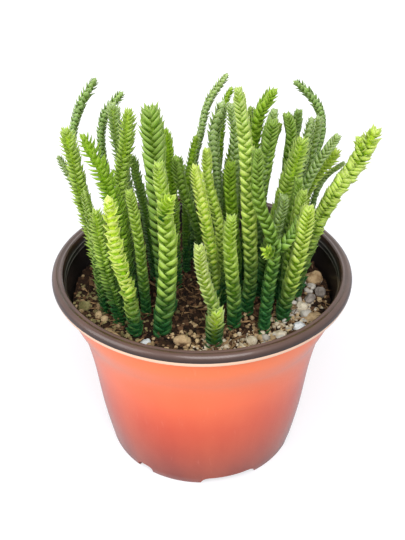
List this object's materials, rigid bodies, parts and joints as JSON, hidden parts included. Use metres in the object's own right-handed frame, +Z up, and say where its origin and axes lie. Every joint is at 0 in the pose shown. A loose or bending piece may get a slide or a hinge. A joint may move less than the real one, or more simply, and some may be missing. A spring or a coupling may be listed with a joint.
{
  "type": "potted watch chain crassula",
  "caption": "Succulent with upright square-ranked scale-leaved stems planted in gritty peat with loose pumice, in a round tapered nursery pot with a rolled rim and notched foot",
  "frame": {"origin": "centre of the flat underside of the pot's floor pad, on the pot's axis, at the height that it stands on", "axes": "+Z up along the pot's axis and the longest extent, -Y to the front that the picture shows, +X to the front's right"},
  "size_m": [0.1134, 0.11, 0.149],
  "materials": {
    "pot": "satin thermoformed plastic, terracotta outside and brown inside",
    "soil": "dry peat with grit",
    "leaf_green": "waxy leaf",
    "leaf_young": "waxy young leaf",
    "leaf_dark": "waxy old leaf",
    "stone_tan": "rough pumice",
    "stone_grey": "rough gravel",
    "stone_pale": "rough pumice",
    "stone_white": "chalky perlite",
    "stone_olive": "rough gravel"
  },
  "bodies": {
    "root": {"pot": "pot", "soil": "soil", "left_stem_01": "leaf_green", "left_stem_02": "leaf_young", "left_stem_03": "leaf_dark", "left_stem_04": "leaf_green", "left_stem_05": "leaf_young", "left_stem_06": "leaf_dark", "left_stem_07": "leaf_green", "left_stem_08": "leaf_young", "left_stem_09": "leaf_dark", "left_stem_10": "leaf_green", "left_stem_11": "leaf_young", "left_stem_12": "leaf_dark", "left_stem_13": "leaf_green", "left_stem_14": "leaf_young", "left_stem_15": "leaf_dark", "left_stem_16": "leaf_green", "left_stem_17": "leaf_young", "middle_stem_01": "leaf_green", "middle_stem_02": "leaf_young", "middle_stem_03": "leaf_dark", "middle_stem_04": "leaf_green", "middle_stem_05": "leaf_young", "middle_stem_06": "leaf_dark", "middle_stem_07": "leaf_green", "middle_stem_08": "leaf_young", "middle_stem_09": "leaf_dark", "middle_stem_10": "leaf_green", "middle_stem_11": "leaf_young", "middle_stem_12": "leaf_dark", "middle_stem_13": "leaf_green", "right_stem_01": "leaf_green", "right_stem_02": "leaf_young", "right_stem_03": "leaf_dark", "right_stem_04": "leaf_green", "right_stem_05": "leaf_young", "right_stem_06": "leaf_dark", "right_stem_07": "leaf_green", "right_stem_08": "leaf_young", "right_stem_09": "leaf_dark", "right_stem_10": "leaf_green", "right_stem_11": "leaf_young", "right_stem_12": "leaf_dark", "right_stem_13": "leaf_green", "right_stem_14": "leaf_young", "right_stem_15": "leaf_dark", "right_stem_16": "leaf_green", "stone_tan_large": "stone_tan", "stone_grey_left": "stone_grey", "stone_grey_right": "stone_grey", "stone_cluster": "stone_pale", "stone_tan_flat": "stone_tan", "stone_blue_white": "stone_white", "stone_front_pale": "stone_pale", "stone_front_pair": "stone_pale", "stone_front_tan": "stone_tan", "stone_perlite": "stone_white", "stone_olive": "stone_olive", "stone_back": "stone_tan"}
  },
  "joints": []
}
